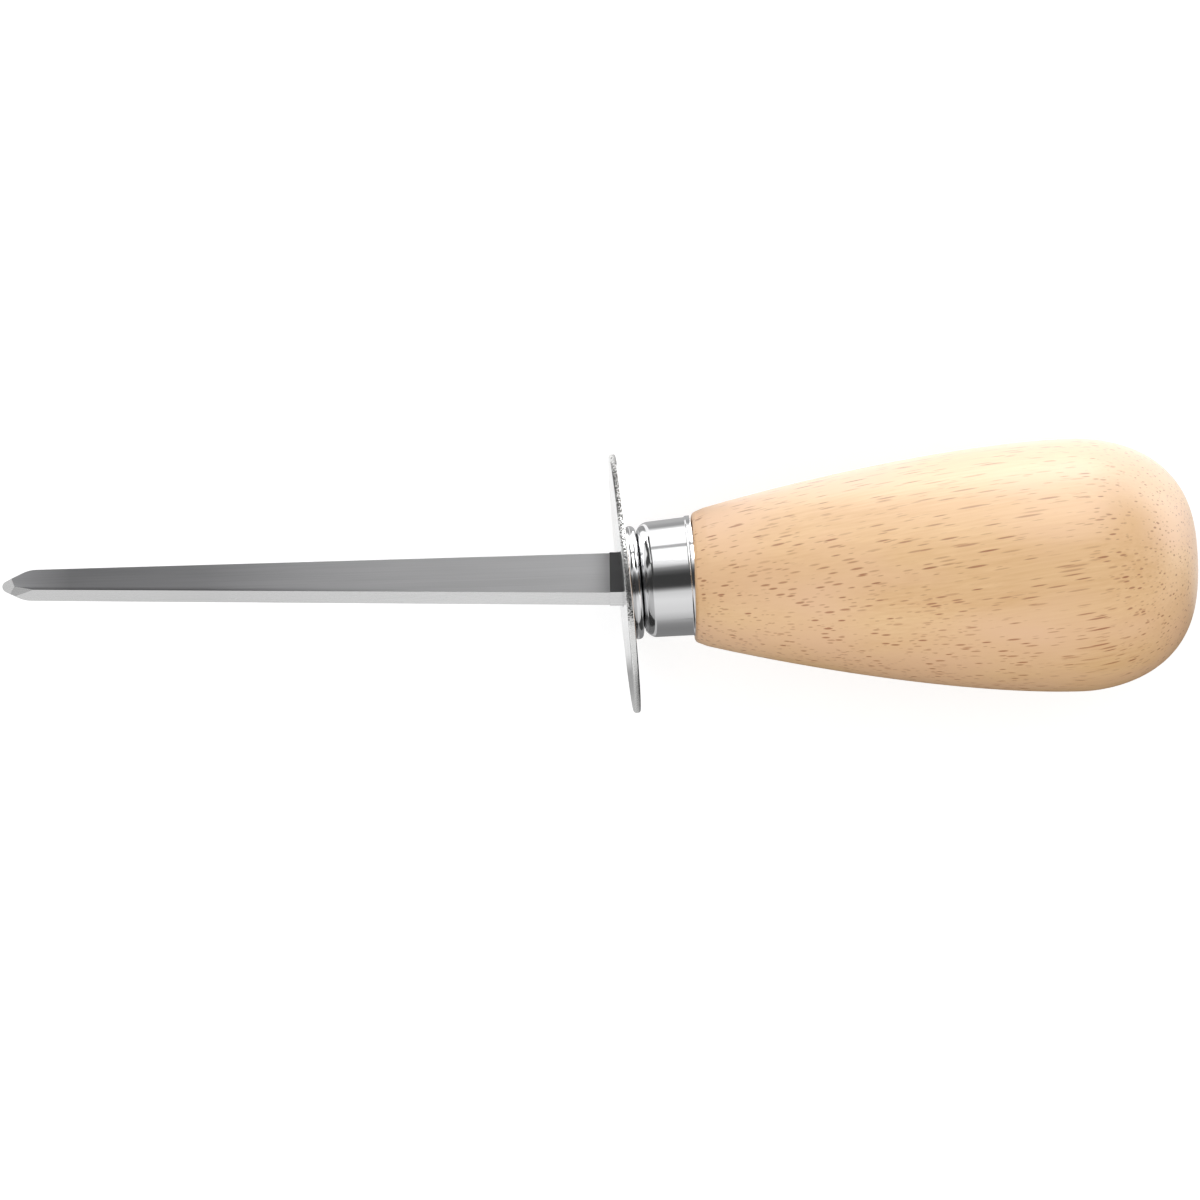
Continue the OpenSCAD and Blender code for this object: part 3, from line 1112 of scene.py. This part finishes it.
@dataclass
class Blade:
    """The spear-point blade, ground in front of its ricasso, with slightly eased edges."""

    seating: Seating
    ricasso_len: float = 1.4
    merge_mm: float = 0.0005
    flat_within: float = 0.3
    smooth_below: float = 0.3
    eased_mm: float = 0.05
    eased_steps: int = 2
    eased_over: float = 5.0
    facet_tilt: float = 6.0
    gentlest_bevel: float = 27.0
    steepest_facet: float = 40.0
    upright: float = 60.0
    nose_forward: float = 0.2
    ridge_root: Span = (-11.05, -2.102)
    ridge_tip: Span = (-102.95, -0.619)
    honed: GroundSteel = GroundSteel(
        name="honed_steel",
        colour="#ebebeb",
        # Painted reflection: darker at the point, as on the flats.
        point_colour="#dedede",
        streak=0.08,
        roughness=0.27,
        point_roughness=0.25,
        stretch=0.5,
    )
    nose: GroundSteel = GroundSteel(
        name="nose_steel",
        colour="#e6e6e6",
        point_colour="#e6e6e6",
        streak=0.08,
        point_roughness=0.15,
        stretch=0.3,
    )
    facet: GroundSteel = GroundSteel(
        name="facet_steel",
        colour="#c8c8c8",
        point_colour="#c8c8c8",
        streak=0.1,
        point_roughness=0.27,
        stretch=0.5,
    )
    plain: PolishedSteel = PolishedSteel(name="ricasso_steel", colour="#cfcfd0", roughness=0.16)

    def build(self, node: bpy.types.Object) -> bpy.types.Object:
        """Builds and dresses the blade from a merged copy of its solid.

        Args:
            node: the CAD node, which is left as it is.

        Returns:
            The dressed piece.
        """
        shape = bmesh.new()
        shape.from_mesh(node.data)
        bmesh.ops.remove_doubles(shape, verts=shape.verts, dist=self.merge_mm * MM)
        within = math.radians(self.flat_within)
        bmesh.ops.dissolve_limit(shape, angle_limit=within, verts=shape.verts, edges=shape.edges)
        mesh = bpy.data.meshes.new("blade_steel")
        shape.to_mesh(mesh)
        shape.free()
        piece = bpy.data.objects.new("blade_steel", mesh)
        bpy.context.scene.collection.objects.link(piece)
        smooth = [abs(face.normal.z) < self.smooth_below for face in mesh.polygons]
        mesh.polygons.foreach_set("use_smooth", smooth)
        self.lay_grind_map(mesh)
        finishes = self.finishes()
        for grind in Grind:
            mesh.materials.append(finishes[grind].material())
        for polygon in mesh.polygons:
            polygon.material_index = self.grind_of(polygon)
        eased = piece.modifiers.new("eased_edges", "BEVEL")
        eased.width = self.eased_mm * MM
        eased.segments = self.eased_steps
        eased.limit_method = "ANGLE"
        eased.angle_limit = math.radians(self.eased_over)
        eased.harden_normals = True
        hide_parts("blade")
        return piece

    def grind_of(self, face: bpy.types.MeshPolygon) -> Grind:
        """Which finish a face has, from how far it tilts away from the flats.

        The facet's finish is also that of the upright sides.

        Args:
            face: the face.

        Returns:
            Its finish.
        """
        tilt = math.degrees(math.acos(min(1.0, abs(face.normal.z))))
        if tilt < self.facet_tilt:
            return Grind.RICASSO if face.center.x > -self.ricasso_len * MM else Grind.FLAT
        if tilt < self.steepest_facet and face.normal.x < -self.nose_forward:
            return Grind.NOSE
        return Grind.LONG_BEVEL if self.gentlest_bevel <= tilt < self.upright else Grind.FACET

    def finishes(self) -> dict[Grind, GroundSteel | PolishedSteel]:
        """The finish of each kind of face. The flats' has the ridge's line in the row's frame.

        Returns:
            One finish for each kind.
        """
        ends = [Vector((*end, 0.0)) for end in (self.ridge_root, self.ridge_tip)]
        line = tuple(tuple((self.seating.blade() @ end).xy) for end in ends)
        return {
            Grind.FLAT: GroundSteel(ridge_line=line),
            Grind.LONG_BEVEL: self.honed,
            Grind.RICASSO: self.plain,
            Grind.NOSE: self.nose,
            Grind.FACET: self.facet,
        }

    def lay_grind_map(self, mesh: bpy.types.Mesh) -> None:
        """Adds the map whose first coordinate runs across the grinding lines.

        Each corner's coordinates are its own (y, x).

        Args:
            mesh: the blade's mesh.
        """
        corner = np.empty(len(mesh.loops), dtype=np.int32)
        mesh.loops.foreach_get("vertex_index", corner)
        place = np.empty(len(mesh.vertices) * 3, dtype=np.float32)
        mesh.vertices.foreach_get("co", place)
        flat = place.reshape(-1, 3)[corner][:, [1, 0]]
        mesh.uv_layers.new(name=self.honed.tangent_map).data.foreach_set("uv", flat.ravel())


@dataclass(frozen=True)
class Card:
    """A lit or a dark card in the studio, which only gloss sees.

    Its corners go round it in metres. Its levels are pairs of a place from its first side to the
    opposite one, from 0 to 1, and a brightness there, where 1 is white.
    """

    name: str
    corners: tuple[Place, Place, Place, Place]
    levels: Stops

    def build(self) -> bpy.types.Object:
        """Builds the card: one face whose map runs from 0 to 1 both ways.

        Returns:
            The card, which is part of the stage.
        """
        mesh = bpy.data.meshes.new(self.name)
        mesh.from_pydata(self.corners, [], [(0, 1, 2, 3)])
        layer = mesh.uv_layers.new(name="across")
        layer.data.foreach_set("uv", (0.0, 0.0, 1.0, 0.0, 1.0, 1.0, 0.0, 1.0))
        piece = bpy.data.objects.new(self.name, mesh)
        bpy.context.scene.collection.objects.link(piece)
        material, tree = new_material(self.name)
        layout = add_node(tree, "ShaderNodeUVMap", {"uv_map": "across"})
        place = add_node(tree, "ShaderNodeSeparateXYZ", inputs=(layout,))
        brightest = max(level for _, level in self.levels)
        stops = [(at, grey(level / brightest)) for at, level in self.levels]
        tone = add_node(tree, "ShaderNodeValToRGB", inputs=(place.outputs["Y"],), stops=stops)
        glow = add_node(tree, "ShaderNodeEmission", inputs={"Color": tone, "Strength": brightest})
        add_node(tree, "ShaderNodeOutputMaterial", inputs={"Surface": glow})
        mesh.materials.append(material)
        piece.visible_camera = False
        piece.visible_diffuse = False
        piece.visible_shadow = False
        piece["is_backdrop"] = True
        return piece


@dataclass
class Studio:
    """The floor, the cards that the metal mirrors, the lamps and the camera. Distances in metres.

    A card's reach along an axis is a pair of places. Its levels go from low to high Y, and those of
    the grey side go down from the overhead card to the floor.
    """

    focus_mm: Place = (-3.2, -2.3, 0.0)
    distance: float = 1.1
    elevation: float = 86.0
    yaw: float = 1.1
    roll: float = 1.84
    px_mm: float = 0.1492
    sensor: float = 36.0
    sees_to: float = 20.0
    white: float = 1.3
    dark: float = 0.052
    # Overhead: dark over the camera, with soft edges, and grey past the knife's nose.
    top_z: float = 0.9
    over_y: Span = (-0.5, 0.513)
    over_x: float = 1.5
    nose_x: float = -0.85
    nose_level: float = 0.72
    over_front_edge: Stops = ((0.0, 0.5), (0.041, 0.36), (0.1, 0.15), (0.16, 0.062))
    over_dark: Span = (0.204, 0.508)
    over_rear_edge: Stops = ((0.631, 0.12), (0.763, 0.34), (0.834, 0.8), (1.0, 1.3))
    # The white box on the +Y side, with a bar across it, dark gaps and a second box further back.
    box_y: float = 0.6
    box_x: Span = (-0.08, 0.16)
    box_level: float = 7.5
    lit: float = 7.0
    divider_z: float = 0.343
    divider_half: float = 0.05
    divider_level: float = 0.5
    gap_x: float = -0.2
    far_box_x: Span = (0.42, 1.2)
    far_z: float = 0.4
    far_level: float = 1.5
    # Dark flags at both ends, with a low light past the butt, and a grey side opposite the box.
    flag_y: float = 0.45
    end_z: float = 0.25
    end_level: float = 3.0
    grey_y: float = -0.7
    grey_x: float = 1.2
    grey_levels: Stops = (
        (0.0, 0.5), (0.08, 0.72), (0.416, 0.87), (0.782, 0.76), (0.908, 0.63), (1.0, 0.54)
    )
    # Sheets just above the floor, under the guard, the ferrule and the handle. The grey ones under
    # and beside the knife are painted shadow of the knife on the floor, which only gloss sees.
    sheet_lift: float = 0.0006
    gap_lift: float = 0.0004
    strip_y: float = 0.09
    rear_gap_y: float = 0.2
    side_y: float = 0.012
    side_x: float = 0.0125
    side_levels: Stops = ((0.0, 1.0), (0.25, 2.3), (1.0, 2.3))
    lit_start: float = 1.5
    lit_from: float = 0.1
    guard_shadow_x: Span = (-0.08, 0.004)
    guard_shadow_y: float = -0.004
    guard_shadow: Stops = (
        (0.0, 0.55), (0.9806, 0.55), (0.9842, 0.4), (0.9895, 0.4), (0.991, 0.85), (1.0, 1.0)
    )
    ferrule_shadow_x: Span = (0.004, 0.02)
    ferrule_shadow_y: float = -0.008
    ferrule_shadow: Stops = (
        (0.0, 0.54), (0.3, 0.52), (0.637, 0.47), (0.83, 0.37), (0.894, 0.29), (0.952, 0.24)
    )
    wood_shadow_x: Span = (0.02, 0.3)
    wood_shadow: Stops = ((0.0, 0.54), (0.578, 0.48))
    wood_shadow_from: float = 0.62
    behind_shadow_levels: Stops = (
        (0.32, 0.5), (0.42, 0.41), (0.56, 0.38), (0.73, 0.8), (0.9, 1.3), (1.0, 1.5)
    )
    # What light there is.
    ambient: float = 0.8
    floor_half: float = 4.0
    floor_tone: float = 0.5
    floor_glow: float = 0.66
    key_place: Place = (-0.1, 0.95, 0.42)
    key_size: Span = (1.1, 0.8)
    key_power: float = 2.7
    fill_place: Place = (0.0, -0.6, 0.85)
    fill_size: Span = (1.4, 0.7)
    fill_power: float = 1.7

    def level_card(self, name: str, x: Span, y: Span, z: float, levels: Stops | float) -> Card:
        """A card that lies level.

        Args:
            name: its name.
            x: where it starts and ends along X.
            y: the same along Y.
            z: its height.
            levels: its levels along Y, or one level all over.

        Returns:
            The card.
        """
        corners = ((x[0], y[0], z), (x[1], y[0], z), (x[1], y[1], z), (x[0], y[1], z))
        return Card(name, corners, levels if isinstance(levels, tuple) else ((0.0, levels),))

    def wall_card(self, name: str, x: Span, z: Span, level: float) -> Card:
        """A card on the box's side, which leans in where it reaches up to the overhead cards.

        Args:
            name: its name.
            x: where it starts and ends along X.
            z: the same along Z.
            level: its level.

        Returns:
            The card.
        """
        y = (self.box_y, self.over_y[1] if z[1] == self.top_z else self.box_y)
        foot = ((x[0], y[0], z[0]), (x[1], y[0], z[0]))
        head = ((x[1], y[1], z[1]), (x[0], y[1], z[1]))
        return Card(name, foot + head, ((0.0, level),))

    def end_card(self, name: str, x: float, z: Span, level: float) -> Card:
        """A card across one end, as wide as the flags.

        Args:
            name: its name.
            x: its place along X.
            z: where it starts and ends along Z.
            level: its level.

        Returns:
            The card.
        """
        y = self.flag_y
        corners = ((x, -y, z[0]), (x, y, z[0]), (x, y, z[1]), (x, -y, z[1]))
        return Card(name, corners, ((0.0, level),))

    def cards(self, floor: float) -> list[Card]:
        """The cards, laid out from what the bright ferrule mirrors.

        Args:
            floor: the floor's height.

        Returns:
            A dark card over the camera with soft edges, a white box on the +Y side with a bar
            across it and dark gaps at its ends, a grey side opposite, and grey cards on the floor,
            which are painted shadow of the knife.
        """
        top, (low, high), far, dark = self.top_z, self.over_y, self.over_x, self.dark
        (box0, box1), (far0, far1) = self.box_x, self.far_box_x
        side, strip, grey_x, grey_y = self.box_y, self.strip_y, self.grey_x, self.grey_y
        sheet = floor + self.sheet_lift
        gap = sheet + self.gap_lift
        bar0, bar1 = self.divider_z - self.divider_half, self.divider_z + self.divider_half
        dark0, dark1 = ((at, dark) for at in self.over_dark)
        over_all = (*self.over_front_edge, dark0, dark1, *self.over_rear_edge)
        over_front = (*self.over_front_edge, dark0, (1.0, dark))
        lit = ((0.0, self.lit_start), (self.lit_from, self.lit), (1.0, self.lit))
        # Painted shadow of the handle on the floor: dark near it, grey further out.
        wood = (*self.wood_shadow, (self.wood_shadow_from, dark))
        guard_shadow, rest_shadow_y = (grey_y, self.guard_shadow_y), (grey_y, self.ferrule_shadow_y)
        grey_head = ((-grey_x, low, top), (grey_x, low, top))
        grey_foot = ((grey_x, grey_y, floor), (-grey_x, grey_y, floor))
        level, wall, end = self.level_card, self.wall_card, self.end_card
        return [
            level("overhead_rear", (box0, far), (low, high), top, over_all),
            level("overhead_front", (self.nose_x, box0), (low, high), top, over_front),
            level("overhead_nose", (-far, self.nose_x), (low, high), top, self.nose_level),
            wall("end_gap", (self.gap_x, box0), (floor, top), dark),
            wall("box_gap", (box1, far0), (floor, top), dark),
            wall("far_box", (far0, far1), (floor, self.far_z), self.far_level),
            wall("far_gap", (far0, far1), (self.far_z, top), dark),
            level("floor_gap", (self.gap_x, box0), (strip, side), gap, dark),
            level("floor_gap_rear", (box1, far0), (self.rear_gap_y, side), gap, dark),
            end("front_flag", -far, (floor, top), dark),
            end("end_light", far, (floor, self.end_z), self.end_level),
            end("end_flag", far, (self.end_z, top), dark),
            wall("box_bar", (box0, box1), (bar0, bar1), self.divider_level),
            wall("near_low", (box0, 0.0), (floor, bar0), self.white),
            wall("near_high", (box0, 0.0), (bar1, top), self.white),
            wall("box_low", (0.0, box1), (floor, bar0), self.lit),
            wall("box_high", (0.0, box1), (bar1, top), self.box_level),
            level("floor_near", (-far, 0.0), (strip, side), sheet, self.white),
            level("floor_side", (self.side_x, far), (self.side_y, strip), sheet, self.side_levels),
            level("floor_lit", (0.0, far), (strip, side), sheet, lit),
            Card("grey_side", grey_head + grey_foot, self.grey_levels),
            # Painted shadow of the knife on the floor, which only gloss sees.
            level("guard_floor_shadow", self.guard_shadow_x, guard_shadow, sheet, self.guard_shadow),
            level("ferrule_floor_shadow", self.ferrule_shadow_x, rest_shadow_y, sheet, self.ferrule_shadow),
            level("handle_floor_shadow", self.wood_shadow_x, rest_shadow_y, sheet, wood),
            level("behind_floor_shadow", (0.0, self.side_x), (0.0, strip), sheet, self.behind_shadow_levels),
        ]

    def seen_directly(self, tree: bpy.types.NodeTree) -> bpy.types.Node:
        """1 for camera, glossy and transmission rays, so that metal shows the white too.

        Args:
            tree: the node tree.

        Returns:
            The node that gives it.
        """
        path = add_node(tree, "ShaderNodeLightPath").outputs
        direct = (path["Is Camera Ray"], path["Is Glossy Ray"])
        first = add_node(tree, MATH, {"operation": "MAXIMUM"}, direct)
        either = (first, path["Is Transmission Ray"])
        return add_node(tree, MATH, {"operation": "MAXIMUM"}, either)

    def floor(self, height: float) -> None:
        """The plain pale floor, which shows white and keeps the shadow.

        Args:
            height: the floor's height.
        """
        half = self.floor_half
        mesh = bpy.data.meshes.new("floor")
        ends = ((-half, -half), (half, -half), (half, half), (-half, half))
        mesh.from_pydata([(x, y, height) for x, y in ends], [], [(0, 1, 2, 3)])
        piece = bpy.data.objects.new("floor", mesh)
        bpy.context.scene.collection.objects.link(piece)
        material, tree = new_material("pale_floor")
        shown = (self.seen_directly(tree), self.floor_glow)
        strength = add_node(tree, MATH, {"operation": "MULTIPLY"}, shown)
        glow = add_node(tree, "ShaderNodeEmission", inputs=(grey(1.0), strength))
        plain = add_node(tree, "ShaderNodeBsdfDiffuse", inputs=(grey(self.floor_tone),))
        both = add_node(tree, "ShaderNodeAddShader", inputs=(glow, plain))
        add_node(tree, "ShaderNodeOutputMaterial", inputs={"Surface": both})
        mesh.materials.append(material)
        piece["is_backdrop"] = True

    def world(self) -> None:
        """White where it is seen, and a soft grey light elsewhere."""
        world = bpy.data.worlds.new("studio_air")
        world.use_nodes = True
        tree = world.node_tree
        tree.nodes.clear()
        levels = (self.seen_directly(tree), 0.0, 1.0, self.ambient, 1.0)
        strength = add_node(tree, RANGE, None, levels)
        air = add_node(tree, "ShaderNodeBackground", inputs=(grey(1.0), strength))
        add_node(tree, "ShaderNodeOutputWorld", inputs={"Surface": air})
        world.cycles.sampling_method = "NONE"
        bpy.context.scene.world = world

    def lamp(self, name: str, place: Place, size: Span, power: float) -> None:
        """A soft area lamp that points at the object and doesn't show in its gloss.

        Args:
            name: its name.
            place: where it stands.
            size: its width and height.
            power: its power in watts.
        """
        light = bpy.data.lights.new(name, "AREA")
        light.shape = "RECTANGLE"
        light.size, light.size_y = size
        light.energy = power
        lamp = bpy.data.objects.new(name, light)
        lamp.location = place
        lamp.rotation_euler = (-Vector(place)).to_track_quat("-Z", "Y").to_euler()
        lamp.visible_glossy = False
        lamp.visible_camera = False
        bpy.context.scene.collection.objects.link(lamp)

    def camera(self) -> None:
        """The camera at the photograph's angle, rolled so that the knife rises to the right."""
        data = bpy.data.cameras.new("camera")
        data.sensor_width = self.sensor
        data.lens = self.sensor * self.distance / (FRAME_PX * self.px_mm * MM)
        data.clip_end = self.sees_to
        camera = bpy.data.objects.new("camera", data)
        up, side, turn = (math.radians(a) for a in (self.elevation, self.yaw, self.roll))
        toward = Vector((-math.sin(side), -math.cos(up), math.sin(up))).normalized()
        level = Vector((math.cos(turn), -math.sin(turn), 0.0))
        right = (level - toward * level.dot(toward)).normalized()
        above = toward.cross(right).normalized()
        basis = Matrix((right, above, toward)).transposed().to_4x4()
        focus = Vector(self.focus_mm) * MM
        camera.matrix_world = Matrix.Translation(focus + toward * self.distance) @ basis
        bpy.context.scene.collection.objects.link(camera)
        bpy.context.scene.camera = camera

    def build(self, floor_height: float) -> None:
        """Builds the whole studio.

        Args:
            floor_height: the height of the knife's lowest point.
        """
        self.floor(floor_height)
        for card in self.cards(floor_height):
            card.build()
        self.world()
        self.lamp("key_lamp", self.key_place, self.key_size, self.key_power)
        self.lamp("fill_lamp", self.fill_place, self.fill_size, self.fill_power)
        self.camera()
        bpy.context.scene.view_settings.view_transform = "Standard"


def main() -> None:
    """Loads the frame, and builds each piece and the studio."""
    logging.basicConfig(level=logging.INFO, format="%(name)s: %(message)s")
    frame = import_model()
    solid_box = [list(corner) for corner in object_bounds()]
    body = next(iter(frame["bodies"]))
    seating = Seating()
    pieces = [
        Blade(seating).build(frame["nodes"]["blade"]),
        Guard(seating).build(),
        Collar(seating).build(),
        Ferrule(seating).build(),
        Handle(seating).build(),
    ]
    for piece in pieces:
        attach(piece, body)
        LOG.info("%s has %d faces and rides on %s", piece.name, len(piece.data.polygons), body)
    Studio().build(solid_box[0][2])


if __name__ == "__main__":
    main()
